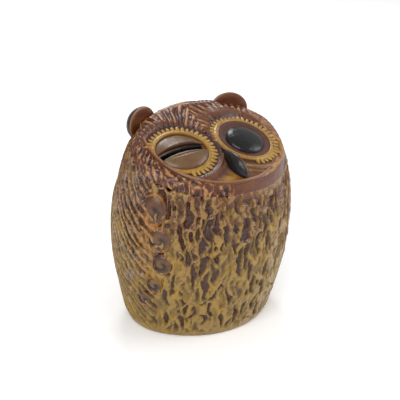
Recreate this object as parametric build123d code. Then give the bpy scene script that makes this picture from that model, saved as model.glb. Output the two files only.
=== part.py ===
"""Ceramic owl money bank, in millimetres. +Z is up, the owl looks along -Y, and its own left side is +X.

The bank is a hollow oval barrel of glazed earthenware, closed by a face slab that slopes down to the
front. The slab is folded along its middle like a shallow roof, so each eye looks a little outwards. The
coin slot is the gap between the two lids of the winking eye. Ears, brows, beak, eyes, wings and tail are
separate clay sprigs that lie on the shell. A rubber stopper closes the hole in the floor and pulls out
downwards. The origin is the middle of the foot, on the surface that the bank stands on.
"""

from build123d import *
import math
import os

# ---------------------------------------------------------------- driving dimensions
WIDTH = 130.0  # across the belly, wing to wing, before the wing relief
DEPTH = 108.0  # front to back at the belly
WALL = 5.5  # cast wall
SLAB = 7.0  # face slab
FLOOR_LOW = 3.6  # underside of the floor, above the foot
FLOOR_THICK = 6.0

# The oval is four arcs that run smoothly into each other; the front and back arcs follow from this one.
END_R = 45.0  # radius of the oval's two ends at the belly
# Barrel outline: height, and how far the wall has drawn in from the belly there.
FOOT = (0.0, 10.8)
KNEE = (20.0, 5.9)
BELLY = (72.0, 0.0)
SHOULDER = (120.0, 6.4)
CROWN = (158.0, 36.0)

# Face slab: a plane through the barrel's axis, folded down on both sides of the middle.
FACE_Z = 137.5  # height of the fold where it crosses the axis
FACE_SLOPE = 21.6  # degrees, down to the front
FACE_FOLD = 5.0  # degrees, down to each side

# The face's raised oval rim, in the face's own coordinates, with its middle line's half sizes.
RIM_MIDDLE = -4.0
RIM_HALF_WIDE = 47.3
RIM_HALF_LONG = 46.2
RIM_WIDE = 2.2
RIM_HIGH = 1.8

# Eyes, in the face's own coordinates: across, and up the slope.
EYE_X = 26.0
EYE_Y = -13.5
EYE_R = 19.5  # inside of the eye rings
RING_WIDE = 3.6
RING_HIGH = 1.6
IRIS_HIGH = 1.0
PUPIL_R = 14.0
PUPIL_HIGH = 5.0
LID_HIGH = 5.0
LID_GAP = 0.3  # the lids' rim stays this far inside the ring

# Coin slot, cut straight down, in plan.
SLOT_LONG = 33.0
SLOT_WIDE = 5.6
SLOT_BEND = 60.0  # radius of its arch
SLOT_SHIFT = 0.6  # how far the slot's crown lies behind the eye's middle

# Stopper and its hole in the floor.
HOLE_R = 17.0
PLUG_CLEAR = 0.05
PLUG_TOP_R = 16.2
PLUG_WALL = 3.0
PLUG_TOP = 15.0
FLANGE_R = 21.0
FLANGE_LOW = 1.4

# Relief on the body.
WING_PROUD = 2.0
TAIL_PROUD = 2.0
CURL_PROUD = 3.4
CURLS = [(-25.0, 98.0, 8.5), (-29.5, 79.0, 7.0), (-31.0, 62.0, 6.2), (-27.0, 44.0, 5.6), (-21.0, 30.0, 4.8)]

REACH = 200.0  # size of the cutting blocks, well past the bank


def wall_profile(belly_r):
    """The wall's outline on the XZ plane, closed along the Z axis. The arcs run into each other smoothly."""
    foot, knee, belly, shoulder, crown = [
        Vector(belly_r - drawn_in, 0, z) for z, drawn_in in (FOOT, KNEE, BELLY, SHOULDER, CROWN)
    ]
    lower = TangentArc(belly, knee, tangent=(0, 0, -1))
    bottom = TangentArc(knee, foot, tangent=lower % 1)
    upper = TangentArc(belly, shoulder, tangent=(0, 0, 1))
    head = TangentArc(shoulder, crown, tangent=upper % 1)
    lid = Line(crown, (0, 0, crown.Z))
    base = Line(foot, (0, 0, 0))
    axis = Line((0, 0, 0), (0, 0, crown.Z))
    return make_face([lower, bottom, upper, head, lid, base, axis])


def oval_barrel(grow):
    """The barrel as a solid, its wall moved out by grow: four sectors, each turned about its own centre."""
    half_wide, half_deep = WIDTH / 2, DEPTH / 2
    end_x = half_wide - END_R
    shorter = half_deep - END_R
    side_y = (end_x**2 - shorter**2) / (2 * shorter)
    side_r = half_deep + side_y
    half_end = math.degrees(math.atan2(side_y, end_x))
    end_sector = revolve(wall_profile(END_R + grow), Axis.Z, 2 * half_end)
    side_sector = revolve(wall_profile(side_r + grow), Axis.Z, 180 - 2 * half_end)
    barrel = Pos(end_x, 0, 0) * Rot(0, 0, -half_end) * end_sector
    barrel += Pos(-end_x, 0, 0) * Rot(0, 0, 180 - half_end) * end_sector
    barrel += Pos(0, -side_y, 0) * Rot(0, 0, half_end) * side_sector
    barrel += Pos(0, side_y, 0) * Rot(0, 0, 180 + half_end) * side_sector
    return barrel


def face_plane():
    """The sloping plane of the face: x across, y up the slope, z out of the face."""
    slope = math.radians(FACE_SLOPE)
    return Plane(origin=(0, 0, FACE_Z), x_dir=(1, 0, 0), z_dir=(0, -math.sin(slope), math.cos(slope)))


def under_roof(raise_by):
    """Everything below the folded face, moved out of the face by raise_by."""
    drop = REACH * math.tan(math.radians(FACE_FOLD))
    outline = Polyline(
        (-REACH, -REACH), (-REACH, raise_by - drop), (0, raise_by), (REACH, raise_by - drop), (REACH, -REACH),
        close=True,
    )
    block = extrude(make_face(outline), REACH, both=True)
    on_face = face_plane()
    across = Plane(origin=on_face.origin, x_dir=on_face.x_dir, z_dir=-on_face.y_dir)
    return across * block


def eye_plane(side):
    """The plane of one eye, on the folded face. side is +1 for the owl's left eye."""
    fold = math.radians(FACE_FOLD)
    on_face = face_plane()
    middle = on_face.from_local_coords(Vector(side * EYE_X, EYE_Y, -EYE_X * math.tan(fold)))
    out = on_face.x_dir * (side * math.sin(fold)) + on_face.z_dir * math.cos(fold)
    across = on_face.x_dir * math.cos(fold) - on_face.z_dir * (side * math.sin(fold))
    return Plane(origin=middle, x_dir=across, z_dir=out)


def eye_dome(side, radius, high):
    """A ball cap of that radius and height on one eye's plane."""
    ball_r = (radius**2 + high**2) / (2 * high)
    ball = Pos(0, 0, high - ball_r) * Sphere(ball_r)
    cap = ball & (Pos(0, 0, high) * Box(4 * radius, 4 * radius, 2 * high))
    return eye_plane(side) * cap


def slot_crown():
    """The centre of the slot's arch, in plan."""
    middle = eye_plane(-1).origin
    return Pos(middle.X, middle.Y + SLOT_SHIFT - SLOT_BEND, FACE_Z)


def coin_slot():
    """The slot's arched band, as a tall block to cut with, centred on the winking eye."""
    half_turn = math.degrees(math.asin(SLOT_LONG / 2 / SLOT_BEND))
    band = []
    for radius in (SLOT_BEND + SLOT_WIDE / 2, SLOT_BEND - SLOT_WIDE / 2):
        band.append(CenterArc((0, 0), radius, 90 - half_turn, 2 * half_turn))
    ends = [Line(band[0] @ end, band[1] @ end) for end in (0, 1)]
    flat = make_face([*band, *ends])
    return slot_crown() * extrude(flat, REACH / 2, both=True)


def mirrored(part):
    """The same part on the owl's other side."""
    return mirror(part, about=Plane.YZ)


# ---------------------------------------------------------------- shell, floor and face
outer = oval_barrel(0)
inner = oval_barrel(-WALL)


def body_shell():
    """The barrel's wall, from the foot to the underside of the face slab."""
    return (outer - inner) & under_roof(-SLAB)


def base_floor():
    """The floor, set up inside the wall, with the stopper's hole."""
    plate = Pos(0, 0, FLOOR_LOW + FLOOR_THICK / 2) * Box(REACH, REACH, FLOOR_THICK)
    hole = Cylinder(HOLE_R, REACH)
    return (inner & plate) - hole


def face_slab():
    """The roof-shaped slab that closes the barrel, with the coin slot through it."""
    return ((outer & under_roof(0)) - under_roof(-SLAB)) - coin_slot()


def rim_oval(grow):
    """An upright block on the face, as large as the rim's middle line moved out by grow."""
    oval = extrude(Ellipse(RIM_HALF_WIDE + grow, RIM_HALF_LONG + grow), REACH / 4, both=True)
    return face_plane() * Pos(0, RIM_MIDDLE, 0) * oval


def eye_round(side):
    """The whole round of one eye, out to the outside of its ring."""
    return eye_plane(side) * Cylinder(EYE_R + RING_WIDE, 4 * RING_HIGH)


def face_rim():
    """The raised lip along the face's front and sides. It stops where it runs into the eye rings."""
    back_end = 12.0
    band = rim_oval(RIM_WIDE / 2) - rim_oval(-RIM_WIDE / 2)
    band = (band & under_roof(RIM_HIGH)) - under_roof(0)
    front = Pos(0, back_end - REACH / 2, FACE_Z) * Box(REACH, REACH, REACH)
    return (band & front) - eye_round(1) - eye_round(-1)


# ---------------------------------------------------------------- eyes
def eye_ring(side):
    """The flat ring round one eye."""
    ring = Cylinder(EYE_R + RING_WIDE, 4 * RING_HIGH) - Cylinder(EYE_R, 5 * RING_HIGH)
    placed = eye_plane(side) * ring
    return (placed & under_roof(RING_HIGH)) - under_roof(0)


def open_eye_iris():
    """The smooth disc inside the open eye's ring."""
    disc = Cylinder(EYE_R - LID_GAP, IRIS_HIGH, align=(Align.CENTER, Align.CENTER, Align.MIN))
    return eye_plane(1) * disc


def open_eye_pupil():
    """The glossy dome on the iris."""
    raised = eye_plane(1)
    above = raised * (Pos(0, 0, IRIS_HIGH + REACH / 2) * Box(REACH, REACH, REACH))
    return eye_dome(1, PUPIL_R, IRIS_HIGH + PUPIL_HIGH) & above


def eyelid(upper):
    """One lid of the winking eye. The lids meet beyond the slot's two ends, along its middle arc."""
    dome = eye_dome(-1, EYE_R - LID_GAP, LID_HIGH) - coin_slot()
    below_arc = slot_crown() * Cylinder(SLOT_BEND, REACH)
    return dome - below_arc if upper else dome & below_arc


# ---------------------------------------------------------------- brows, beak and ears
def forehead_crest():
    """The wedge between the brows, widest at the back of the head."""
    point_y, back_y, back_half, high = -17.0, 30.0, 17.0, 2.6
    wedge = Polyline((0, point_y), (back_half, back_y), (-back_half, back_y), close=True)
    prism = face_plane() * extrude(make_face(wedge), REACH / 8, both=True)
    return (prism & outer & under_roof(high)) - under_roof(0)


def brow(side):
    """The swelling over one eye, from the crest out to the ear."""
    start_r, end_r, low_angle, sweep, high = EYE_R + RING_WIDE + 1.0, EYE_R + 14.0, 18.0, 112.0, 2.4
    arcs = [CenterArc((0, 0), radius, low_angle, sweep) for radius in (start_r, end_r)]
    ends = [Line(arcs[0] @ end, arcs[1] @ end) for end in (0, 1)]
    sector = extrude(make_face([*arcs, *ends]), REACH / 8, both=True)
    if side < 0:
        sector = mirror(sector, about=Plane.YZ)
    placed = eye_plane(side) * sector
    inside = rim_oval(-RIM_WIDE / 2)
    return ((placed & inside & under_roof(high)) - under_roof(0)) - forehead_crest()


def beak():
    """The hooked beak, a long drop that stands further out at its lower end."""
    half_wide, half_long, half_high, middle_y, tip_out = 5.6, 16.0, 6.0, -33.0, 7.0
    drop = scale(Sphere(1), by=(half_wide, half_long, half_high))
    placed = face_plane() * Pos(0, middle_y, 0.6) * Rot(tip_out, 0, 0) * drop
    return placed - under_roof(0) - eye_ring(1) - eye_ring(-1) - face_rim()


def ear(side):
    """One ear tuft: a thick rounded lobe with a flat front, on the head's back corner."""
    half_wide, half_thick, half_high = 11.5, 9.5, 13.0
    lobe = scale(Sphere(1), by=(half_wide, half_thick, half_high))
    lobe -= Pos(0, -half_thick, 0) * Box(4 * half_wide, 2 * half_thick, 4 * half_high)
    placed = Pos(side * 35.0, 25.0, 138.0) * Rot(-8, 0, side * -14) * lobe
    return placed - outer


# ---------------------------------------------------------------- wings, curls and tail
def wing(side):
    """The raised wing, a leaf shape seen from the side."""
    top, front, bottom, back = (4.0, 121.0), (-29.0, 86.0), (2.0, 20.0), (31.0, 84.0)
    edge = [
        ThreePointArc(top, (-20.0, 109.0), front),
        ThreePointArc(front, (-23.0, 48.0), bottom),
        ThreePointArc(bottom, (24.0, 48.0), back),
        ThreePointArc(back, (24.0, 108.0), top),
    ]
    leaf = extrude(Plane.YZ * make_face(edge), REACH / 2)
    skin = (oval_barrel(WING_PROUD) - outer) & leaf
    return skin if side > 0 else mirrored(skin)


def wing_curls(side):
    """The five rolled feather tips along the wing's front edge, as one group."""
    skin = oval_barrel(CURL_PROUD) - outer - wing(1)
    bosses = []
    for y, z, radius in CURLS:
        surface_x = math.sqrt(1 - (y / (DEPTH / 2)) ** 2) * WIDTH / 2
        out = Vector(surface_x / (WIDTH / 2) ** 2, y / (DEPTH / 2) ** 2, 0)
        seat = Plane(origin=(surface_x * 0.8, y * 0.8, z), z_dir=out)
        rod = seat * Cylinder(radius, REACH / 4, align=(Align.CENTER, Align.CENTER, Align.MIN))
        bosses.append(skin & rod)
    group = Compound(children=[solid for boss in bosses for solid in boss.solids()])
    return group if side > 0 else mirrored(group)


def tail_feathers():
    """The short fan of tail feathers low on the back."""
    low, high, crest, half_low, half_high = 6.0, 35.0, 41.0, 24.0, 16.0
    edge = [
        Line((-half_low, low), (half_low, low)),
        Line((half_low, low), (half_high, high)),
        ThreePointArc((half_high, high), (0, crest), (-half_high, high)),
        Line((-half_high, high), (-half_low, low)),
    ]
    fan = extrude(Plane.XZ * make_face(edge), -REACH / 2)
    return (oval_barrel(TAIL_PROUD) - outer) & fan


# ---------------------------------------------------------------- stopper
def stopper():
    """The rubber stopper: a tapered hollow plug, a flange under the floor and a finger bar."""
    plug_r = HOLE_R - PLUG_CLEAR
    flange_thick = FLOOR_LOW - FLANGE_LOW
    lowest = (Align.CENTER, Align.CENTER, Align.MIN)
    flange = Pos(0, 0, FLANGE_LOW) * Cylinder(FLANGE_R, flange_thick, align=lowest)
    plug_high = PLUG_TOP - FLOOR_LOW
    plug = Pos(0, 0, FLOOR_LOW) * Cone(plug_r, PLUG_TOP_R, plug_high, align=lowest)
    hollow = Pos(0, 0, FLOOR_LOW + 1.5) * Cylinder(PLUG_TOP_R - PLUG_WALL, REACH, align=lowest)
    bar_long, bar_wide, bar_high = 26.0, 4.0, 0.9
    bar = Pos(0, 0, FLANGE_LOW - bar_high) * Box(bar_long, bar_wide, bar_high, align=lowest)
    return (flange + plug + bar) - hollow


NODES = {
    "body_shell": body_shell,
    "base_floor": base_floor,
    "face_slab": face_slab,
    "face_rim": face_rim,
    "winking_eye_ring": lambda: eye_ring(-1),
    "open_eye_ring": lambda: eye_ring(1),
    "open_eye_iris": open_eye_iris,
    "open_eye_pupil": open_eye_pupil,
    "upper_eyelid": lambda: eyelid(True),
    "lower_eyelid": lambda: eyelid(False),
    "forehead_crest": forehead_crest,
    "left_brow": lambda: brow(1),
    "right_brow": lambda: brow(-1),
    "beak": beak,
    "left_ear": lambda: ear(1),
    "right_ear": lambda: ear(-1),
    "left_wing": lambda: wing(1),
    "right_wing": lambda: wing(-1),
    "left_wing_curls": lambda: wing_curls(1),
    "right_wing_curls": lambda: wing_curls(-1),
    "tail_feathers": tail_feathers,
    "stopper": stopper,
}

os.makedirs("parts", exist_ok=True)
for name, build in NODES.items():
    shape = build()
    export_step(shape, f"parts/{name}.step")
    print(name, len(shape.solids()), "solid(s)", round(shape.volume), "mm3")
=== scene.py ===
import math

import bmesh
import bpy
import numpy as np
from mathutils import Matrix, Vector


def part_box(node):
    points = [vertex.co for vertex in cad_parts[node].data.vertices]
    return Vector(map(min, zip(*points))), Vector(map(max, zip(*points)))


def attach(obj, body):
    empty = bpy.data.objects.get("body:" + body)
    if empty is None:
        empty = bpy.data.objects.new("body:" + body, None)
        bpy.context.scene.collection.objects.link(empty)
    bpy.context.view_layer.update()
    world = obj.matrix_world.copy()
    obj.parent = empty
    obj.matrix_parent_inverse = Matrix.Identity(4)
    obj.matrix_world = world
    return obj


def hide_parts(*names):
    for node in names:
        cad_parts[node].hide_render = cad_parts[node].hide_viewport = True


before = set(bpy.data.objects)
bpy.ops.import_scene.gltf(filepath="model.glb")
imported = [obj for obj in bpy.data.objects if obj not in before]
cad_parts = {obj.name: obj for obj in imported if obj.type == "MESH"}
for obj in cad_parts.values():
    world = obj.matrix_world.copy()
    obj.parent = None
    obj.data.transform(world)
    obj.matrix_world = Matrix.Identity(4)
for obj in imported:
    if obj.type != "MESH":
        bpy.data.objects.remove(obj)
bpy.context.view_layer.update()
mm = 0.001
bank = "bank"  # the body that all the pottery rides on

# the barrel: every size below is in millimetres
shellLow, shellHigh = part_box("body_shell")
barrel = {
    "halfWide": shellHigh.x / mm,
    "halfDeep": shellHigh.y / mm,
    "endRadius": 45.0,  # radius of the oval's two ends
    "foot": (0.0, 10.8),  # height, and how far the wall has drawn in there
    "knee": (20.0, 5.9),
    "belly": (72.0, 0.0),
    "shoulder": (120.0, 6.4),
    "crown": (158.0, 36.0),
    "wall": 5.5,
}
face = {"height": 137.5, "slope": 21.6, "fold": 5.0, "soften": 2.0, "slab": 7.0}
# the winking eye is a little smaller and sits further out; squash makes both a little broader than tall
eyes = {"open": 23.4, "winking": -27.2, "up": -13.5, "radius": 19.4, "winkRadius": 18.2, "squash": 0.96}
rim = {"middle": -4.0, "halfWide": 47.0, "halfLong": 48.0, "wide": 1.9, "high": 1.3, "shoulder": 2.6}
fuller = {"up": 146.0, "around": 104.0, "spread": 30.0, "out": 8.0}  # hand-made, so one shoulder is fuller

endX = barrel["halfWide"] - barrel["endRadius"]
shorter = barrel["halfDeep"] - barrel["endRadius"]
sideY = (endX**2 - shorter**2) / (2 * shorter)
sideRadius = barrel["halfDeep"] + sideY
halfEnd = math.atan2(sideY, endX)
frontLength = sideRadius * (math.pi / 2 - halfEnd)  # from the middle of the front to where the end arc starts
endLength = barrel["endRadius"] * 2 * halfEnd
halfRound = 2 * frontLength + endLength  # half the way round the bank


def findWallArcs():
    # the outline's arcs run into each other smoothly, down and up from the belly
    foot, knee, belly, shoulder, crown = [
        np.array((-barrel[stop][1], barrel[stop][0]))
        for stop in ("foot", "knee", "belly", "shoulder", "crown")
    ]
    arcs = []
    for direction, stops in ((-1.0, (knee, foot)), (1.0, (shoulder, crown))):
        start, way = belly, np.array((0.0, direction))
        for stop in stops:
            chord = stop - start
            inward = np.array((-way[1], way[0])) * direction
            radius = chord @ chord / (2 * inward @ chord)
            centre = start + inward * radius
            arcs.append((min(start[1], stop[1]), max(start[1], stop[1]), centre, radius))
            way = 2 * (way @ chord) * chord / (chord @ chord) - way
            start = stop
    return arcs


wallArcs = findWallArcs()


def wallShift(up):
    up = np.clip(up, 0.0, barrel["crown"][0])
    shift = np.zeros_like(up)
    for low, high, centre, radius in wallArcs:
        reach = centre[0] + np.sqrt(np.maximum(radius**2 - (up - centre[1]) ** 2, 0))
        shift = np.where((up >= low) & (up <= high), reach, shift)
    return shift


def wrap(around, up, proud=0.0):
    # a point on the barrel: way round from the middle of the front, height, and how far out of the wall
    around, up, proud = np.broadcast_arrays(
        np.asarray(around, float), np.asarray(up, float), np.asarray(proud, float))
    way = np.abs(around)
    atEnd = (way >= frontLength) & (way < frontLength + endLength)
    atFront = way < frontLength
    angle = np.where(atFront, way / sideRadius - math.pi / 2,
                     np.where(atEnd, (way - frontLength) / barrel["endRadius"] - halfEnd,
                              (way - frontLength - endLength) / sideRadius + halfEnd))
    centreX = np.where(atEnd, endX, 0.0)
    centreY = np.where(atFront, sideY, np.where(atEnd, 0.0, -sideY))
    radius = np.where(atEnd, barrel["endRadius"], sideRadius)
    lean = (wallShift(up + 0.3) - wallShift(up - 0.3)) / 0.6
    level = 1 / np.sqrt(1 + lean**2)
    more = fuller["out"] * smooth(116.0, fuller["up"], up) * bump(around, fuller["around"], fuller["spread"])
    reach = radius + wallShift(up) + more + proud * level
    x = np.where(around < 0, -1.0, 1.0) * (centreX + reach * np.cos(angle))
    y = centreY + reach * np.sin(angle)
    return np.stack([x, y, up - proud * lean * level], axis=-1)


sinSlope = math.sin(math.radians(face["slope"]))
cosSlope = math.cos(math.radians(face["slope"]))


def foldDrop(u):
    return (np.sqrt(u**2 + face["soften"] ** 2) - face["soften"]) * math.tan(math.radians(face["fold"]))


def onFace(u, v, proud=0.0):
    # a point on the folded face: across, up the slope, and out of it
    u, v, proud = np.broadcast_arrays(np.asarray(u, float), np.asarray(v, float), np.asarray(proud, float))
    out = proud - foldDrop(u)
    y = v * cosSlope - out * sinSlope
    z = face["height"] + v * sinSlope + out * cosSlope
    return np.stack([u, y, z], axis=-1)


def faceSpot(points):
    # across and up the slope of points in space
    return points[..., 0], points[..., 1] * cosSlope + (points[..., 2] - face["height"]) * sinSlope


def roofLine(around, drop=0.0):
    # height at which the barrel's wall meets the face, or the face lowered by drop
    up = np.full_like(around, 130.0)
    for _ in range(80):
        spot = wrap(around, up)
        roof = face["height"] + (spot[..., 1] * sinSlope - foldDrop(spot[..., 0]) - drop) / cosSlope
        up += 0.5 * (roof - up)
    return up


def smooth(low, high, value):
    t = np.clip((np.asarray(value, float) - low) / (high - low), 0.0, 1.0)
    return t * t * (3 - 2 * t)


def bump(value, centre, spread):
    return np.exp(-(((value - centre) / spread) ** 2))


# making meshes
def addPiece(name, data):
    piece = bpy.data.objects.new(name, data)
    bpy.context.scene.collection.objects.link(piece)
    return piece


def meshFrom(name, points, faces, marks, material):
    mesh = bpy.data.meshes.new(name)
    mesh.from_pydata((points * mm).tolist(), [], faces)
    for mark, values in marks.items():
        if values.ndim == 2:
            mesh.attributes.new(mark, "FLOAT_VECTOR", "POINT").data.foreach_set("vector", values.ravel())
        else:
            mesh.attributes.new(mark, "FLOAT", "POINT").data.foreach_set("value", values)
    work = bmesh.new()
    work.from_mesh(mesh)
    bmesh.ops.recalc_face_normals(work, faces=work.faces)
    work.to_mesh(mesh)
    work.free()
    mesh.shade_smooth()
    mesh.materials.append(material)
    return addPiece(name, mesh)


def ringFaces(count, spokes, closed, start=0):
    # the faces between rows of closed loops; closed joins the last row to the first
    here = np.arange(spokes)
    onward = (here + 1) % spokes
    faces = []
    for row in range(count if closed else count - 1):
        low, high = start + row * spokes, start + (row + 1) % count * spokes
        faces += np.stack([low + here, low + onward, high + onward, high + here], axis=1).tolist()
    return faces


def skinRows(name, rows, material, marks=None):
    # rows of closed loops, with a pole at each end: rows is (how many, points in each, 3)
    count, spokes, _ = rows.shape
    points = np.concatenate([rows[0].mean(0)[None], rows.reshape(-1, 3), rows[-1].mean(0)[None]])
    pairs = [(spoke, (spoke + 1) % spokes) for spoke in range(spokes)]
    last = 1 + (count - 1) * spokes
    faces = [(0, 1 + b, 1 + a) for a, b in pairs]
    faces += ringFaces(count, spokes, False, start=1)
    faces += [(len(points) - 1, last + a, last + b) for a, b in pairs]
    laid = {}
    for mark, values in (marks or {}).items():
        flat = values.reshape((-1,) + values.shape[2:])
        laid[mark] = np.concatenate([values[0].mean(0)[None], flat, values[-1].mean(0)[None]])
    return meshFrom(name, points, faces, laid, material)


def patch(place, outline, proud, sink, rings, backRings=3):
    # a patch that fills an outline round the origin of its own plane: its top, then its back
    shares = np.concatenate([(np.arange(rings) + 1) / rings, np.linspace(1, 0.3, backRings)])
    onTop = np.arange(len(shares)) < rings
    a = shares[:, None] * outline[None, :, 0]
    b = shares[:, None] * outline[None, :, 1]
    high = np.where(onTop[:, None], proud(a, b, shares[:, None] * np.ones_like(a)), -sink)
    return place(a, b, high), a, b, high, onTop


# node helpers
def node(tree, kind, feeds=None, **settings):
    made = tree.nodes.new(kind)
    for key, value in settings.items():
        setattr(made, key, value)
    for key, value in (feeds or {}).items():
        socket = made.inputs[key]
        if isinstance(value, bpy.types.NodeSocket):
            tree.links.new(value, socket)
        else:
            socket.default_value = value
    return made


def maths(tree, operation, *values):
    return node(tree, "ShaderNodeMath", dict(enumerate(values)), operation=operation).outputs[0]


def times(tree, first, second):
    return maths(tree, "MULTIPLY", first, second)


def plus(tree, first, second):
    return maths(tree, "ADD", first, second)


def minus(tree, first, second):
    return maths(tree, "SUBTRACT", first, second)


def vectors(tree, operation, *values):
    return node(tree, "ShaderNodeVectorMath", dict(enumerate(values)), operation=operation).outputs[0]


def ramp(tree, value, low, high, outLow=0.0, outHigh=1.0):
    feeds = {"Value": value, "From Min": low, "From Max": high, "To Min": outLow, "To Max": outHigh}
    return node(tree, "ShaderNodeMapRange", feeds, interpolation_type="SMOOTHSTEP").outputs[0]


def rgb(red, green, blue):
    linear = [((c / 255 + 0.055) / 1.055) ** 2.4 if c > 10 else c / 255 / 12.92 for c in (red, green, blue)]
    return (*linear, 1.0)


def blendColour(tree, share, first, second):
    made = tree.nodes.new("ShaderNodeMix")
    made.data_type = "RGBA"
    for socket, value in ((made.inputs[0], share), (made.inputs[6], first), (made.inputs[7], second)):
        if isinstance(value, bpy.types.NodeSocket):
            tree.links.new(value, socket)
        else:
            socket.default_value = value
    return made.outputs[2]


def noise(tree, where, scale, detail=2.0, rough=0.5):
    feeds = {"Vector": where, "Scale": scale, "Detail": detail, "Roughness": rough}
    return node(tree, "ShaderNodeTexNoise", feeds).outputs[0]


def startMaterial(name):
    material = bpy.data.materials.new(name)
    material.use_nodes = True
    tree = material.node_tree
    return material, tree, tree.nodes["Principled BSDF"]


# glazes: low and high are the colours near the foot and near the head
commonLook = {
    "riseFrom": 0.10, "riseTo": 0.15, "stain": rgb(158, 98, 32), "soot": rgb(22, 20, 22),
    "gloss": 0.36, "coat": 0.12, "coatRough": 0.15,
}
plumageLook = {
    "fieldLow": rgb(112, 86, 30), "fieldHigh": rgb(92, 54, 25), "poolLow": rgb(62, 34, 22),
    "poolHigh": rgb(52, 22, 13), "crown": rgb(156, 124, 68), "patch": rgb(136, 106, 20),
    "patchShare": 0.85, "thinGlazeAndHighlightShare": 0.5, "riseFrom": 0.045, "riseTo": 0.104,
    "shineLow": 0.2, "shineHigh": 0.36,
}
faceLook = {
    "fieldLow": rgb(88, 48, 29), "fieldHigh": rgb(88, 47, 28), "poolLow": rgb(44, 20, 13),
    "poolHigh": rgb(44, 20, 13), "crown": rgb(166, 118, 70), "patch": rgb(108, 66, 27),
    "patchShare": 0.4, "thinGlazeAndHighlightShare": 0.75, "shineLow": 0.24, "shineHigh": 0.4,
    "stain": rgb(150, 112, 30),
}
mustardLook = {
    "fieldLow": rgb(142, 106, 34), "fieldHigh": rgb(136, 98, 32), "poolLow": rgb(74, 38, 16),
    "poolHigh": rgb(70, 34, 16), "crown": rgb(178, 144, 74), "patch": rgb(110, 68, 30),
    "patchShare": 0.7, "thinGlazeAndHighlightShare": 0.4, "shineLow": 0.22, "shineHigh": 0.38,
}
lidLook = {
    "fieldLow": rgb(98, 66, 43), "fieldHigh": rgb(90, 62, 39), "poolLow": rgb(52, 26, 16),
    "poolHigh": rgb(52, 26, 16), "crown": rgb(150, 112, 76), "patch": rgb(96, 74, 38),
    "patchShare": 0.8, "thinGlazeAndHighlightShare": 0.15, "shineLow": 0.26, "shineHigh": 0.4,
}
irisLook = {
    "fieldLow": rgb(86, 44, 32), "fieldHigh": rgb(80, 42, 32), "poolLow": rgb(42, 20, 16),
    "poolHigh": rgb(42, 20, 16), "crown": rgb(130, 78, 48), "patch": rgb(74, 44, 34),
    "patchShare": 0.6, "thinGlazeAndHighlightShare": 0.1, "shineLow": 0.2, "shineHigh": 0.3,
}
blackLook = {
    "fieldLow": rgb(12, 12, 13), "fieldHigh": rgb(12, 12, 13), "poolLow": rgb(10, 8, 9),
    "poolHigh": rgb(10, 8, 9), "crown": rgb(96, 66, 44), "patch": rgb(24, 18, 22),
    "patchShare": 0.5, "thinGlazeAndHighlightShare": 0.0, "shineLow": 0.2, "shineHigh": 0.32,
    "gloss": 0.3,
}


def makeGlaze(name, look):
    look = {**commonLook, **look}
    material, tree, shader = startMaterial(name)

    def mark(markName):
        return node(tree, "ShaderNodeAttribute", attribute_name=markName).outputs["Fac"]

    where = node(tree, "ShaderNodeTexCoord").outputs["Object"]
    height = node(tree, "ShaderNodeSeparateXYZ", {"Vector": where}).outputs[2]
    drift = noise(tree, where, 38.0, 3.0)
    cloud = noise(tree, where, 95.0, 3.0, 0.6)
    grit = noise(tree, where, 420.0, 4.0, 0.65)
    dust = noise(tree, where, 1500.0, 2.0)
    lifted = plus(tree, height, times(tree, minus(tree, drift, 0.5), 0.09))
    rise = ramp(tree, lifted, look["riseFrom"], look["riseTo"])
    field = blendColour(tree, rise, look["fieldLow"], look["fieldHigh"])
    patchiness = times(tree, ramp(tree, cloud, 0.45, 0.66), look["patchShare"])
    patchiness = times(tree, patchiness, ramp(tree, rise, 0.5, 1.0, 1.0, 0.3))
    field = blendColour(tree, patchiness, field, look["patch"])
    pool = blendColour(tree, rise, look["poolLow"], look["poolHigh"])
    wobble = times(tree, minus(tree, grit, 0.5), 0.5)
    deep = plus(tree, mark("dip"), wobble)
    colour = blendColour(tree, ramp(tree, deep, 0.15, 0.95), field, pool)
    # pale crown colour on the ridge tops, where little glaze pools: partly thin glaze on the crests, partly a
    # painted highlight
    thinGlazeAndHighlight = times(tree, ramp(tree, deep, -0.05, 0.13, 1.0, 0.0), look["thinGlazeAndHighlightShare"])
    colour = blendColour(tree, thinGlazeAndHighlight, colour, look["crown"])
    # the edge mark lays the pale crown colour along edges; on the rim's crest and the beak's keel it is
    # partly thin glaze and partly a painted highlight
    colour = blendColour(tree, mark("edge"), colour, look["crown"])
    stained = times(tree, mark("orange"), ramp(tree, cloud, 0.35, 0.6))
    colour = blendColour(tree, stained, colour, look["stain"])
    colour = blendColour(tree, mark("soot"), colour, look["soot"])
    fleck = ramp(tree, grit, 0.64, 0.72, 0.0, 0.55)
    colour = blendColour(tree, fleck, colour, look["poolHigh"])
    pale = ramp(tree, dust, 0.62, 0.74, 0.0, 0.22)
    colour = blendColour(tree, pale, colour, look["crown"])
    tree.links.new(colour, shader.inputs["Base Color"])
    rough = ramp(tree, cloud, 0.3, 0.7, look["shineLow"], look["shineHigh"])
    tree.links.new(rough, shader.inputs["Roughness"])
    shader.inputs["IOR"].default_value = 1.5
    shader.inputs["Specular IOR Level"].default_value = look["gloss"]
    shader.inputs["Coat Weight"].default_value = look["coat"]
    shader.inputs["Coat Roughness"].default_value = look["coatRough"]
    fine = node(tree, "ShaderNodeBump", {"Height": grit, "Strength": 0.25, "Distance": 0.0007})
    broad = node(tree, "ShaderNodeBump", {"Height": cloud, "Strength": 0.4, "Distance": 0.0018,
                                          "Normal": fine.outputs[0]})
    tree.links.new(broad.outputs[0], shader.inputs["Normal"])
    return material


featherGlaze = makeGlaze("featherGlaze", plumageLook)
brownGlaze = makeGlaze("brownGlaze", faceLook)
mustardGlaze = makeGlaze("mustardGlaze", mustardLook)
lidGlaze = makeGlaze("lidGlaze", lidLook)
irisGlaze = makeGlaze("irisGlaze", irisLook)
blackGlaze = makeGlaze("blackGlaze", blackLook)


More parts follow.
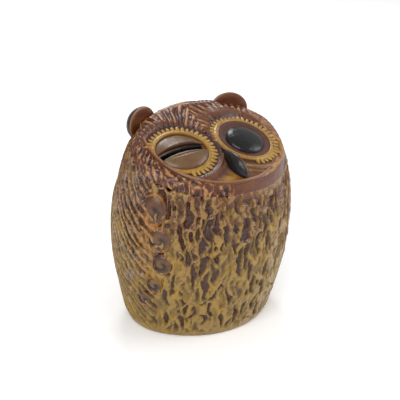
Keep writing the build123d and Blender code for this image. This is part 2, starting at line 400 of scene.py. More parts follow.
def makePlain(name, base, other, scale, roughLow, roughHigh, pit):
    # bare clay and rubber: two tones, and a fine pitted surface
    material, tree, shader = startMaterial(name)
    where = node(tree, "ShaderNodeTexCoord").outputs["Object"]
    cloud = noise(tree, where, scale, 5.0, 0.6)
    grain = noise(tree, where, scale * 14, 3.0)
    tone = blendColour(tree, ramp(tree, cloud, 0.35, 0.65), base, other)
    tone = blendColour(tree, ramp(tree, grain, 0.6, 0.7, 0.0, 0.5), tone, other)
    tree.links.new(tone, shader.inputs["Base Color"])
    tree.links.new(ramp(tree, grain, 0.3, 0.7, roughLow, roughHigh), shader.inputs["Roughness"])
    pits = node(tree, "ShaderNodeBump", {"Height": grain, "Strength": pit, "Distance": 0.0004})
    tree.links.new(pits.outputs[0], shader.inputs["Normal"])
    return material


bareClay = makePlain("bareClay", rgb(196, 170, 138), rgb(168, 136, 102), 90.0, 0.7, 0.9, 0.4)
stopperRubber = makePlain("stopperRubber", rgb(44, 42, 40), rgb(58, 55, 52), 70.0, 0.5, 0.7, 0.25)
print("materials made")

# plumage relief, shared by the shell, the face's edge, the wings and the tail
plumage = {
    "gougeWide": 5.0, "gougeLong": 21.0, "gougeDeep": 1.9,
    "strandPitch": 7.0, "strandDeep": 2.3, "seedShift": 3.7,
}


def makePlumageTree():
    tree = bpy.data.node_groups.new("plumage relief", "GeometryNodeTree")
    face = tree.interface
    face.new_socket("Geometry", in_out="INPUT", socket_type="NodeSocketGeometry")
    for name in plumage:
        face.new_socket(name, in_out="INPUT", socket_type="NodeSocketFloat")
    face.new_socket("glaze", in_out="INPUT", socket_type="NodeSocketMaterial")
    face.new_socket("Geometry", in_out="OUTPUT", socket_type="NodeSocketGeometry")
    given = node(tree, "NodeGroupInput").outputs

    def mark(name, kind="FLOAT"):
        return node(tree, "GeometryNodeInputNamedAttribute", {"Name": name}, data_type=kind).outputs[0]

    carve, flow, strand = mark("carve"), mark("flow"), mark("strand")
    grain = mark("grain", "FLOAT_VECTOR")
    sway = node(tree, "ShaderNodeTexNoise", {"Vector": grain, "Scale": 0.085, "Detail": 2.0}).outputs[1]
    sway = vectors(tree, "SUBTRACT", sway, (0.5, 0.5, 0.5))
    sway = vectors(tree, "MULTIPLY", sway, (11.0, 11.0, 16.0))
    swayed = vectors(tree, "ADD", grain, sway)
    wide = maths(tree, "DIVIDE", 1.0, given["gougeWide"])
    long = maths(tree, "DIVIDE", 1.0, given["gougeLong"])
    stretch = node(tree, "ShaderNodeCombineXYZ", {0: wide, 1: wide, 2: long}).outputs[0]
    seedShift = given["seedShift"]
    shift = node(tree, "ShaderNodeCombineXYZ", {0: seedShift, 1: 0.0, 2: seedShift}).outputs[0]
    cells = vectors(tree, "MULTIPLY_ADD", swayed, stretch, shift)
    toEdge = node(tree, "ShaderNodeTexVoronoi", {"Vector": cells, "Scale": 1.0}, feature="DISTANCE_TO_EDGE")
    nearest = node(tree, "ShaderNodeTexVoronoi", {"Vector": cells, "Scale": 1.0}, feature="F1")
    chance = node(tree, "ShaderNodeSeparateXYZ", {0: nearest.outputs["Color"]}).outputs
    height = node(tree, "ShaderNodeSeparateXYZ", {0: grain}).outputs[2]
    start = ramp(tree, height, 15.0, 100.0, 0.085, 0.03)  # broader ridges between the gouges near the foot
    start = plus(tree, start, times(tree, chance[1], 0.05))
    inside = minus(tree, toEdge.outputs["Distance"], start)
    gouge = times(tree, ramp(tree, inside, -0.01, 0.13), ramp(tree, chance[0], 0.1, 0.4, 0.45, 1.0))
    streaks = noise(tree, vectors(tree, "MULTIPLY", swayed, (0.5, 0.5, 0.085)), 1.0, 3.0)
    streaks = minus(tree, streaks, 0.5)
    tremble = noise(tree, grain, 0.11)
    tremble = times(tree, minus(tree, tremble, 0.5), 1.2)
    turns = plus(tree, maths(tree, "DIVIDE", strand, given["strandPitch"]), tremble)
    which = maths(tree, "FLOOR", turns)
    inTurn = maths(tree, "ABSOLUTE", minus(tree, maths(tree, "FRACT", turns), 0.5))
    breaks = noise(tree, grain, 0.2)
    whichChance = node(tree, "ShaderNodeTexWhiteNoise", {"W": which}, noise_dimensions="1D").outputs[0]
    groove = ramp(tree, inTurn, 0.1, 0.36)
    groove = times(tree, groove, ramp(tree, breaks, 0.36, 0.56, 0.35, 1.0))
    groove = times(tree, groove, ramp(tree, whichChance, 0.0, 1.0, 0.65, 1.15))
    gougeHigh = times(tree, gouge, times(tree, given["gougeDeep"], -1.0))
    strandHigh = times(tree, groove, times(tree, given["strandDeep"], -1.0))
    strandHigh = plus(tree, strandHigh, times(tree, given["strandDeep"], 0.45))
    gougeHigh = plus(tree, gougeHigh, times(tree, given["gougeDeep"], 0.35))
    upward = ramp(tree, height, 40.0, 112.0, 0.75, 1.7)  # more streaks towards the head
    streaks = times(tree, streaks, upward)
    gougeHigh = plus(tree, gougeHigh, times(tree, streaks, 2.6))
    both = node(tree, "ShaderNodeMix", {0: flow, 2: gougeHigh, 3: strandHigh}).outputs[0]
    dip = node(tree, "ShaderNodeMix", {0: flow, 2: gouge, 3: groove}).outputs[0]
    rise = times(tree, times(tree, both, carve), mm)
    normal = node(tree, "GeometryNodeInputNormal").outputs[0]
    offset = node(tree, "ShaderNodeVectorMath", {0: normal, "Scale": rise}, operation="SCALE").outputs[0]
    lifted = {"Geometry": given["Geometry"], "Offset": offset}
    moved = node(tree, "GeometryNodeSetPosition", lifted).outputs[0]
    base = mark("dipBase")
    # raised streaks lower the dip, so their tops take the pale crown colour: partly thin glaze, partly a
    # painted highlight
    dip = minus(tree, dip, times(tree, streaks, 1.5))
    shown = plus(tree, times(tree, dip, carve), base)
    stored = {"Geometry": moved, "Name": "dip", "Value": shown}
    kept = node(tree, "GeometryNodeStoreNamedAttribute", stored, data_type="FLOAT", domain="POINT").outputs[0]
    real = node(tree, "GeometryNodeRealizeInstances", {"Geometry": kept}).outputs[0]
    glazed = node(tree, "GeometryNodeSetMaterial", {"Geometry": real, "Material": given["glaze"]}).outputs[0]
    node(tree, "NodeGroupOutput", {"Geometry": glazed})
    return tree


plumageTree = makePlumageTree()


def bake(piece, tree, values):
    # runs a node tree on a piece once, and keeps the result as its plain mesh
    modifier = piece.modifiers.new("relief", "NODES")
    modifier.node_group = tree
    for socket in tree.interface.items_tree:
        if socket.in_out == "INPUT" and socket.name in values:
            modifier[socket.identifier] = values[socket.name]
    piece.update_tag()
    bpy.context.view_layer.update()
    ready = piece.evaluated_get(bpy.context.evaluated_depsgraph_get())
    mesh = bpy.data.meshes.new_from_object(ready)
    piece.modifiers.remove(modifier)
    old, piece.data = piece.data, mesh
    bpy.data.meshes.remove(old)
    mesh.name = piece.name
    mesh.shade_smooth()


def carveFeathers(piece, glazeUsed, **changes):
    bake(piece, plumageTree, {**plumage, "glaze": glazeUsed, **changes})


def strandAt(around, up):
    # a number that stays the same along each feather strand, from the upper back down to the front
    back = np.maximum(np.abs(around) - 58.0, -40.0)
    return up - 0.62 * back - 0.0095 * np.maximum(back, 0) ** 2


def flowAt(around, up):
    # 1 on the sides, where feathers are long strands, and 0 on the breast and the back
    way = np.abs(around) + 9 * np.sin(up / 17.0)
    return smooth(66, 78, way) * (1 - smooth(126, 142, way))


def finish(piece, slotName, *nodes, body=bank):
    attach(piece, body)
    if nodes:
        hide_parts(*nodes)


# body shell
def chinAt(around):
    # the smooth part of the wall below the beak
    return smooth(-16.0, -2.0, around) * smooth(62.0, 46.0, around)


def makeBodyShell():
    columns, upRows = 440, 186
    around = (np.arange(columns) / columns * 2 - 1) * halfRound
    top = roofLine(around, face["slab"])
    share = np.linspace(0, 1, upRows)
    up = 2.2 + share[:, None] * (top[None, :] - 2.2)
    outer = wrap(around[None, :], up)
    footIn = wrap(around, 0.0, -barrel["wall"] + 0.6)[None]
    footOut = wrap(around, 0.0, -1.4)[None]
    footLow = wrap(around, 0.7, -0.35)[None]
    innerTop = wrap(around, top, -barrel["wall"])[None]
    innerMid = wrap(around, 70.0, -barrel["wall"])[None]
    innerLow = wrap(around, 9.0, -barrel["wall"])[None]
    rows = np.concatenate([footIn, footOut, footLow, outer, innerTop, innerMid, innerLow])
    ups = np.concatenate([np.zeros((3, columns)), up, np.zeros((3, columns))])
    spread = np.broadcast_to(around, ups.shape)
    carve = np.zeros_like(ups)
    chin = chinAt(around)[None] * smooth(-9.0, -1.0, up - top[None, :])
    carve[3:3 + upRows] = smooth(2.0, 9.0, up) * (1 - 0.9 * chin)
    marks = {"carve": carve, "flow": flowAt(spread, ups), "strand": strandAt(spread, ups), "grain": rows}
    faces = ringFaces(len(rows), columns, True)
    flat = {mark: values.reshape((-1,) + values.shape[2:]) for mark, values in marks.items()}
    piece = meshFrom("bodyShell", rows.reshape(-1, 3), faces, flat, featherGlaze)
    carveFeathers(piece, featherGlaze)
    finish(piece, "feather_glaze", "body_shell")


makeBodyShell()
print("body shell carved")

# face slab
browBulge = {"across": 24.0, "up": 14.0, "wide": 17.0, "tall": 5.0, "high": 2.6}
browCut = {"gougeWide": 4.6, "gougeLong": 20.0, "gougeDeep": 1.0, "strandPitch": 4.4, "strandDeep": 1.5}
hatch = {"pitch": 2.9, "lean": 35.0}


def eyeAngle(u, v):
    # distance from the nearer eye, and the angle there, 0 across to the owl's left and 90 up the slope
    side = np.where(u < -2.0, -1.0, 1.0)
    x, y = u - np.where(side > 0, eyes["open"], eyes["winking"]), (v - eyes["up"]) / eyes["squash"]
    return np.hypot(x, y), np.degrees(np.arctan2(y, x)), side


def hatchAt(u, v):
    lean = math.radians(hatch["lean"])
    turn = (u * math.cos(lean) + v * math.sin(lean)) / hatch["pitch"]
    return np.abs(turn - np.floor(turn) - 0.5) * 2  # 1 in the groove, 0 on the line


def beyondRim(u, v):
    # how far a spot on the face lies outside the rim, in millimetres
    return (np.hypot(u / rim["halfWide"], (v - rim["middle"]) / rim["halfLong"]) - 1) * rim["halfWide"]


def shoulderDrop(u, v):
    # outside the rim the clay rounds over towards the wall
    out = np.maximum(beyondRim(u, v), 0)
    return rim["shoulder"] * (1 - np.exp(-((out / 9.0) ** 2)))


def browRegion(u, v):
    # where the forehead is cut with strokes
    distance, _, _ = eyeAngle(u, v)
    ring = smooth(25.0, 27.0, distance)
    upper = smooth(-16.0, -2.0, v)
    bulge = np.where(u > 0, bump(u, browBulge["across"] - 2, 15.0) * bump(v, 14.0, 6.0), 0.0)
    return ring * upper * (1 - np.clip(bulge * 1.3, 0, 1))


def faceHeight(u, v):
    distance, _, side = eyeAngle(u, v)
    dish = -1.0 * (1 - smooth(20.0, 31.0, distance))
    swelling = browBulge["high"] * np.where(u > 0, 1.0, 0.5)
    swelling = swelling * bump(np.abs(u), browBulge["across"], browBulge["wide"])
    swelling = swelling * bump(v, browBulge["up"], browBulge["tall"] * 1.3)
    lower = smooth(6.0, -6.0, v - eyes["up"])
    outward = side * (u - np.where(side > 0, eyes["open"], eyes["winking"]))
    folds = (1.3 * bump(distance, 30.0, 1.1) + 1.2 * bump(distance, 35.0, 1.2)) * lower
    folds = np.where(u > -2, folds * smooth(-16.0, -6.0, outward), 0.8 * bump(distance, 28.0, 1.0) * lower)
    bridge = 1.3 * bump(u, 0.0, 3.4) * bump(v, -14.0, 16.0)
    return dish + swelling + folds + bridge - shoulderDrop(u, v)


def makeFaceSlab():
    columns, rings, wallRows = 460, 112, 10
    around = (np.arange(columns) / columns * 2 - 1) * halfRound
    edgeUp = roofLine(around)
    edge = wrap(around, edgeUp)
    edgeU, edgeV = faceSpot(edge)
    lowAtEdge = shoulderDrop(edgeU, edgeV) + 1.4 * smooth(6.0, 24.0, edgeV)
    middle = (0.0, -4.0)
    share = ((np.arange(rings) + 1) / rings)[:, None]
    u = middle[0] + share * (edgeU[None] - middle[0])
    v = middle[1] + share * (edgeV[None] - middle[1])
    distance, angle, side = eyeAngle(u, v)
    high = faceHeight(u, v) - 1.4 * smooth(6.0, 24.0, v) * smooth(0.86, 1.0, share)
    high = high * (1 - smooth(0.98, 1.0, share)) - lowAtEdge[None] * smooth(0.98, 1.0, share)
    top = onFace(u, v, high)
    down = np.linspace(0.0, 1, wallRows + 1)[1:, None]
    drop = lowAtEdge[None] + 0.25 + (face["slab"] - lowAtEdge[None] - 0.25) * down
    wallUp = np.stack([roofLine(around, depth) for depth in drop])
    sinceEdge = drop - lowAtEdge[None]
    wall = wrap(around[None, :], wallUp, -0.7 * np.exp(-sinceEdge / 0.9))
    bottom = [onFace(edgeU * part, edgeV * part, -face["slab"] + 0.3) for part in (0.9, 0.5, 0.1)]
    rows = np.concatenate([top, wall, np.stack(bottom)])
    shape = rows.shape[:2]
    carve, flow, strand, dipBase = np.zeros(shape), np.zeros(shape), np.zeros(shape), np.zeros(shape)
    orange = np.zeros(shape)
    grain = rows.copy()
    # on the forehead the gouges point away from the nearer eye
    brow = np.stack([angle / 57.3 * 15.0, side * 40.0, distance * 0.4 + 60], axis=-1)
    # outside the rim they carry on over the edge from the wall
    out = np.maximum(beyondRim(u, v), 0)
    inFromEdge = np.hypot(u - edgeU[None], v - edgeV[None])
    over = edge[None] + np.stack([np.zeros_like(u), np.zeros_like(u), inFromEdge], axis=-1)
    outside = smooth(0.0, 1.0, out)
    grain[:rings] = np.where((out > 0.5)[..., None], over, brow)
    chin = chinAt(around)[None]
    carve[:rings] = browRegion(u, v) * 0.8 * (1 - outside) + outside * (1 - chin) * smooth(0.5, 2.5, out)
    overEdge = np.broadcast_to(around, u.shape)
    flow[:rings] = np.where(out > 0.5, flowAt(np.clip(np.abs(overEdge), 80, 120), edgeUp[None]), 1.0)
    strand[:rings] = np.where(out > 0.5, strandAt(overEdge, edgeUp[None] + inFromEdge), angle / 57.3 * 33.0)
    carve[:rings] *= 1 - 0.85 * smooth(24.0, 31.0, v)  # smooth along the back edge
    openSide = smooth(40.0, 46.0, u) * smooth(26.0, 14.0, v)
    carve[:rings] *= 1 - 0.8 * openSide  # the shoulder beside the open eye is smooth
    carve[rings:rings + wallRows] = (1 - chin) * (0.3 + 0.5 * smooth(0.0, 4.0, sinceEdge))
    wide = np.broadcast_to(around, wallUp.shape)
    flow[rings:rings + wallRows] = flowAt(wide, wallUp) * smooth(1.0, 6.0, sinceEdge)
    strand[rings:rings + wallRows] = strandAt(wide, wallUp)
    under = smooth(6.0, -6.0, v - eyes["up"])
    between = 0.62 * bump(distance, 25.2, 2.1) + 0.5 * bump(distance, 32.4, 1.2) * under
    # in the brow region the base is 0, so the stroke tops take the pale crown colour: partly thin glaze,
    # partly a painted highlight
    dipBase[:rings] = 0.16 * (1 - browRegion(u, v)) * (1 - outside) + between * (1 - outside)
    dipBase[rings:rings + wallRows] = 0.22 * chin
    # mustard lies in the hollow beside the beak's tip and in the folds under the open eye
    folds = (bump(distance, 29.0, 1.3) + 0.8 * bump(distance, 34.0, 1.2)) * under * smooth(-4, 4, u)
    orange[:rings] = np.clip(bump(u, -9.0, 6.5) * bump(v, -45.5, 3.8) + 0.9 * folds, 0, 1)
    marks = {
        "carve": carve, "flow": flow, "strand": strand, "grain": grain, "dipBase": dipBase, "orange": orange,
    }
    piece = skinRows("faceSlab", rows, brownGlaze, marks)
    carveFeathers(piece, brownGlaze, **browCut)
    return piece


slot = {"long": 31.5, "wide": 6.2, "bend": 60.0, "shift": 1.4}
slotCrownX = eyes["winking"]
slotCrownY = float(onFace(eyes["winking"], eyes["up"])[1]) + slot["shift"] - slot["bend"]


def makeSlotCutter():
    half = math.asin(slot["long"] / 2 / slot["bend"])
    angles = np.linspace(math.pi / 2 - half, math.pi / 2 + half, 33)
    outerR, innerR = slot["bend"] + slot["wide"] / 2, slot["bend"] - slot["wide"] / 2
    ring = np.concatenate([
        np.stack([np.cos(angles), np.sin(angles)], 1) * outerR,
        np.stack([np.cos(angles[::-1]), np.sin(angles[::-1])], 1) * innerR,
    ]) + (slotCrownX, slotCrownY)
    rows = np.stack([np.column_stack([ring, np.full(len(ring), z)]) for z in (100.0, 150.0)])
    # the cutter carries the black glaze that becomes painted shade on the slot's walls
    return skinRows("slotCutter", rows, blackGlaze)


def cutSlot(piece, cutter):
    modifier = piece.modifiers.new("slot", "BOOLEAN")
    modifier.operation = "DIFFERENCE"
    modifier.solver = "EXACT"
    modifier.material_mode = "TRANSFER"  # the slot's walls take the cutter's black glaze: painted shade for the dark inside of the slot
    modifier.object = cutter
    bpy.context.view_layer.update()
    ready = piece.evaluated_get(bpy.context.evaluated_depsgraph_get())
    mesh = bpy.data.meshes.new_from_object(ready)
    piece.modifiers.remove(modifier)
    piece.data = mesh
    mesh.name = piece.name


faceSlab = makeFaceSlab()
slotCutter = makeSlotCutter()
cutSlot(faceSlab, slotCutter)
bpy.data.objects.remove(slotCutter)
finish(faceSlab, "brown_glaze", "face_slab")
print("face slab carved and slotted")

# rim of the face
def makeFaceRim():
    angles = np.radians(np.linspace(-212, 32, 420))
    u = rim["halfWide"] * np.cos(angles)
    v = rim["middle"] + rim["halfLong"] * np.sin(angles)
    ahead = np.stack([-rim["halfWide"] * np.sin(angles), rim["halfLong"] * np.cos(angles)], 1)
    ahead /= np.linalg.norm(ahead, axis=1)[:, None]
    ends = np.linspace(0, 1, len(angles))
    taper = np.clip(np.minimum(ends, 1 - ends) / 0.1, 0.02, 1.0) ** 0.5
    quiet = 1 - 0.55 * smooth(20.0, 40.0, u)  # lower beside the open eye
    turn = np.linspace(0, 2 * math.pi, 17)[:-1]
    side, high = np.cos(turn), np.sin(turn)
    # steep on the inside, and rounding away on the outside
    tall = np.where(high > 0, high**0.8 * rim["high"], high * 1.2)
    lean = side * rim["wide"] / 2 - 0.5 * np.clip(high, 0, 1)
    u2 = u[:, None] + ahead[:, 1:2] * lean[None] * taper[:, None]
    v2 = v[:, None] - ahead[:, 0:1] * lean[None] * taper[:, None]
    rows = onFace(u2, v2, tall[None] * (taper * quiet)[:, None] - 0.25)
    # edge: the pale crown colour along the rim's crest, partly thin glaze and partly a painted highlight
    edgeMark = (np.clip(high, 0, 1)[None] ** 4) * (0.6 * quiet[:, None] ** 3) * np.ones_like(u2)
    piece = skinRows("faceRim", rows, brownGlaze, {"edge": edgeMark, "dip": np.full(u2.shape, 0.2)})
    finish(piece, "brown_glaze", "face_rim")


makeFaceRim()

# eye rings: a smooth band with teeth that point away from the eye
eyeRing = {
    "bandWide": 3.6, "bandHigh": 1.15, "teeth": 41, "toothLong": 6.6, "toothWide": 2.75, "toothHigh": 1.9,
    "toothStart": 0.2, "seed": 4,
}


def makeTeethTree():
    tree = bpy.data.node_groups.new("ring of teeth", "GeometryNodeTree")
    tree.interface.new_socket("Geometry", in_out="INPUT", socket_type="NodeSocketGeometry")
    for name in ("toothLong", "toothWide", "toothHigh", "unevenness"):
        tree.interface.new_socket(name, in_out="INPUT", socket_type="NodeSocketFloat")
    tree.interface.new_socket("seed", in_out="INPUT", socket_type="NodeSocketInt")
    tree.interface.new_socket("glaze", in_out="INPUT", socket_type="NodeSocketMaterial")
    tree.interface.new_socket("Geometry", in_out="OUTPUT", socket_type="NodeSocketGeometry")
    given = node(tree, "NodeGroupInput").outputs
    ball = {"Segments": 12, "Rings": 8, "Radius": 0.5 * mm}
    tooth = node(tree, "GeometryNodeMeshUVSphere", ball).outputs[0]
    size = node(tree, "ShaderNodeCombineXYZ",
                {0: given["toothLong"], 1: given["toothWide"], 2: given["toothHigh"]}).outputs[0]
    pointing, upward = (
        node(tree, "GeometryNodeInputNamedAttribute", {"Name": name}, data_type="FLOAT_VECTOR").outputs[0]
        for name in ("pointing", "upward"))
    turned = node(tree, "FunctionNodeAxesToRotation", {0: upward, 1: pointing},
                  primary_axis="Z", secondary_axis="X").outputs[0]
    low = minus(tree, 1.0, given["unevenness"])
    high = plus(tree, 1.0, given["unevenness"])
    # sockets 2 and 3 are the least and the most, as plain numbers
    between = {2: low, 3: high, "Seed": given["seed"]}
    uneven = node(tree, "FunctionNodeRandomValue", between, data_type="FLOAT").outputs[1]
    grown = node(tree, "ShaderNodeVectorMath", {0: size, "Scale": uneven}, operation="SCALE").outputs[0]
    placed = node(tree, "GeometryNodeInstanceOnPoints", {
        "Points": given["Geometry"], "Instance": tooth, "Rotation": turned, "Scale": grown}).outputs[0]
    real = node(tree, "GeometryNodeRealizeInstances", {"Geometry": placed}).outputs[0]
    soft = node(tree, "GeometryNodeSetShadeSmooth", {"Geometry": real}).outputs[0]
    glazed = node(tree, "GeometryNodeSetMaterial", {"Geometry": soft, "Material": given["glaze"]}).outputs[0]
    node(tree, "NodeGroupOutput", {"Geometry": glazed})
    return tree


teethTree = makeTeethTree()


def joinPieces(pieces):
    # one mesh from several finished meshes, kept under the first one's name
    work = bmesh.new()
    for piece in pieces:
        work.from_mesh(piece.data)
    work.to_mesh(pieces[0].data)
    work.free()
    for piece in pieces[1:]:
        bpy.data.objects.remove(piece)
    pieces[0].data.shade_smooth()
    return pieces[0]


def makeEyeRing(name, side, gapFrom, gapTo, nodeName):
    centre = eyes["open"] if side > 0 else eyes["winking"]
    innerR = (eyes["radius"] if side > 0 else eyes["winkRadius"]) - 0.3
    angles = np.linspace(0, 2 * math.pi, 241)[:-1]
    middle = innerR + eyeRing["bandWide"] / 2
    turn = np.linspace(0, 2 * math.pi, 17)[:-1]
    radius = middle + np.cos(turn)[None] * eyeRing["bandWide"] / 2
    # highest along the inner edge, and sloping down to the teeth
    lean = np.clip(-np.cos(turn), -1, 1)
    crown = np.clip(np.sin(turn), 0, 1) ** 0.7 * eyeRing["bandHigh"] * (1 + 0.35 * lean)
    high = np.where(np.sin(turn) > 0, crown, np.sin(turn) * 1.4)
    high = high[None] - 0.35
    u = centre + np.cos(angles)[:, None] * radius
    v = eyes["up"] + np.sin(angles)[:, None] * radius * eyes["squash"]
    over = np.maximum(beyondRim(u, v) + 1.0, 0)  # the band narrows where it meets the rim
    over = np.minimum(over, np.maximum(radius - innerR - 0.4, 0))
    u = u - np.cos(angles)[:, None] * over
    v = v - np.sin(angles)[:, None] * over
    rows = onFace(u, v, high * np.ones_like(u))
    faces = ringFaces(*rows.shape[:2], True)
    # the band's crest gets a low dip and so the pale crown colour: partly thin glaze, partly a painted
    # highlight
    dip = np.where(np.sin(turn) > 0.55, 0.08, 0.3)[None] * np.ones_like(u)
    band = meshFrom(name, rows.reshape(-1, 3), faces, {"dip": dip.ravel()}, mustardGlaze)
    # teeth, left out where the ring runs into the beak or the rim
    toothAngles = np.linspace(0, 360, eyeRing["teeth"], endpoint=False)
    toothAngles = toothAngles[(toothAngles < gapFrom) | (toothAngles > gapTo)]
    outR = innerR + eyeRing["bandWide"] + eyeRing["toothStart"]
    rad = np.radians(toothAngles)
    reach = np.sin(rad) * eyes["squash"]
    spots = onFace(centre + np.cos(rad) * outR, eyes["up"] + reach * outR, -0.25)
    outer = onFace(centre + np.cos(rad) * (outR + 1), eyes["up"] + reach * (outR + 1), -0.45)
    above = onFace(centre + np.cos(rad) * outR, eyes["up"] + reach * outR, 0.75)
    spotMarks = {"pointing": outer - spots, "upward": above - spots}
    teeth = meshFrom(name + "Teeth", spots, [], spotMarks, mustardGlaze)
    bake(teeth, teethTree, {"toothLong": eyeRing["toothLong"], "toothWide": eyeRing["toothWide"],
                            "toothHigh": eyeRing["toothHigh"], "unevenness": 0.2, "seed": eyeRing["seed"],
                            "glaze": mustardGlaze})
    ring = joinPieces([band, teeth])
    finish(ring, "mustard_glaze", nodeName)


makeEyeRing("winkingEyeRing", -1, 158, 262, "winking_eye_ring")
makeEyeRing("openEyeRing", 1, 176, 258, "open_eye_ring")
print("face rim and eye rings made")


# the open eye
def ovalOutline(count, halfWide, halfTall):
    angles = np.linspace(0, 2 * math.pi, count, endpoint=False)
    return np.stack([np.cos(angles) * halfWide, np.sin(angles) * halfTall], axis=1)


iris = {"radius": 19.6, "high": 0.5, "dish": 0.7}
pupil = {"radius": 14.3, "high": 4.4, "across": -0.3, "up": -1.2}


def makeOpenEye():
    def placeIris(a, b, high):
        return onFace(eyes["open"] + a, eyes["up"] + b, high)

    def irisHigh(a, b, share):
        return iris["high"] - iris["dish"] * smooth(1.0, 0.6, share)

    outline = ovalOutline(150, iris["radius"], iris["radius"] * eyes["squash"])
    rows, a, b, _, _ = patch(placeIris, outline, irisHigh, 1.6, 26)
    distance = np.hypot(a, b)
    # the glaze lies deeper along the iris's edge and round the pupil
    dip = 0.25 + 0.5 * bump(distance, iris["radius"] - 0.6, 1.0)
    dip += 0.35 * bump(distance, pupil["radius"] + 0.8, 1.2)
    piece = skinRows("openEyeIris", rows, irisGlaze, {"dip": dip})
    finish(piece, "brown_glaze", "open_eye_iris")

    def placePupil(a, b, high):
        return onFace(eyes["open"] + pupil["across"] + a, eyes["up"] + pupil["up"] + b, high)

    def pupilHigh(a, b, share):
        return -0.4 + pupil["high"] * np.sqrt(np.clip(1 - share**2.4, 0, 1)) ** 0.9

    outline = ovalOutline(150, pupil["radius"], pupil["radius"] * eyes["squash"])
    rows, a, _, _, _ = patch(placePupil, outline, pupilHigh, 1.4, 60)
    piece = skinRows("openEyePupil", rows, blackGlaze, {"dip": np.full(a.shape, 0.25)})
    finish(piece, "black_glaze", "open_eye_pupil")


makeOpenEye()

# the winking eye's lids
lids = {"upperHigh": 4.2, "lowerHigh": 5.0}


def slotEdge(x, outer):
    # the slot's edge in the eye's own plane; x runs across from the eye's middle
    radius = slot["bend"] + (slot["wide"] / 2 if outer else -slot["wide"] / 2)
    flatY = slotCrownY + np.sqrt(radius**2 - x**2)
    # plan y back to the way up the slope, at the height of the face there
    return (flatY - float(onFace(eyes["winking"], eyes["up"])[1])) / cosSlope


def lidPatch(name, upper, nodeName):
    radius = eyes["winkRadius"] + 0.3
    share = np.sin(np.linspace(-math.pi / 2, math.pi / 2, 120))
    half = radius * 0.985
    x = share * half
    arc = slotEdge(x, upper)
    bound = np.sqrt(np.maximum(radius**2 - x**2, 0)) * eyes["squash"]
    far = bound if upper else -bound
    near = np.where(bound > np.abs(arc), arc, np.sign(arc) * bound)
    if upper:
        near = np.minimum(near, far)
    columns = 44
    t = np.linspace(0, 1, columns)
    y = near[:, None] + (far - near)[:, None] * t[None]
    xx = x[:, None] * np.ones_like(y)
    away = np.clip(np.hypot(xx, y / eyes["squash"]) / radius, 0, 1)
    if upper:
        high = -0.9 + lids["upperHigh"] * (1 - away**3) * (1 - 0.75 * t[None])
    else:
        high = 0.2 + lids["lowerHigh"] * np.sqrt(np.clip(1 - away**2.2, 0, 1))
        high = high * (0.3 + 0.7 * smooth(0.0, 0.4, t)[None])
    top = onFace(eyes["winking"] + xx, eyes["up"] + y, high)
    under = onFace(eyes["winking"] + xx[:, ::-1], eyes["up"] + y[:, ::-1], -1.8)
    rows = np.concatenate([top, under], axis=1)
    rimDark = 0.22 + 0.4 * smooth(0.93, 1.0, away) + (0.35 * smooth(0.08, 0.0, t)[None] if upper else 0.0)
    dip = np.concatenate([rimDark * np.ones_like(y), np.full(y.shape, 0.8)], axis=1)
    paleEdge = (0.0 if upper else 0.35) * smooth(0.06, 0.0, t)[None]
    edgeMark = np.concatenate([np.broadcast_to(paleEdge, y.shape), np.zeros(y.shape)], axis=1)
    piece = skinRows(name, rows, lidGlaze, {"dip": dip, "edge": edgeMark})
    finish(piece, "taupe_glaze", nodeName)


lidPatch("upperEyelid", True, "upper_eyelid")
lidPatch("lowerEyelid", False, "lower_eyelid")
print("eyes made")

# forehead crest, brows and beak
crest = {"tip": -14.0, "back": 31.0, "halfBack": 14.5, "high": 1.3, "drift": 10.0}


def makeCrest():
    rows, columns = 150, 60
    t = np.linspace(0, 1, rows)
    v = crest["tip"] + (crest["back"] - crest["tip"]) * t
    half = 1.6 + (crest["halfBack"] - 1.6) * smooth(0.18, 1.0, t) ** 1.1
    across = np.linspace(-1, 1, columns)
    drift = crest["drift"] * smooth(-4.0, crest["back"], v)  # its middle wanders towards the open eye
    u = drift[:, None] + half[:, None] * across[None]
    vv = v[:, None] * np.ones_like(u)
    groove = hatchAt(u, vv) ** 1.5 * smooth(-6.0, 4.0, vv)
    crown = crest["high"] * (1 - np.abs(across[None]) ** 3) * smooth(0.0, 0.12, t)[:, None]
    high = crown - 0.4 - groove * 0.75 * (1 - np.abs(across[None]) ** 6)
    high = high - 1.3 * smooth(0.9, 1.0, t)[:, None]
    top = onFace(u, vv, high)
    under = onFace(u[:, ::-1], vv[:, ::-1], -1.6)
    rowsAll = np.concatenate([top, under], axis=1)
    dip = np.concatenate([0.1 + 0.75 * groove, np.full(u.shape, 0.6)], axis=1)
    piece = skinRows("foreheadCrest", rowsAll, brownGlaze, {"dip": dip})
    finish(piece, "brown_glaze", "forehead_crest")


makeCrest()


# its start and length round the eye are in degrees
browRidge = {"from": 26.0, "turn": 96.0, "inner": 25.4, "wide": 8.6, "high": 2.3, "strokes": 13.0}


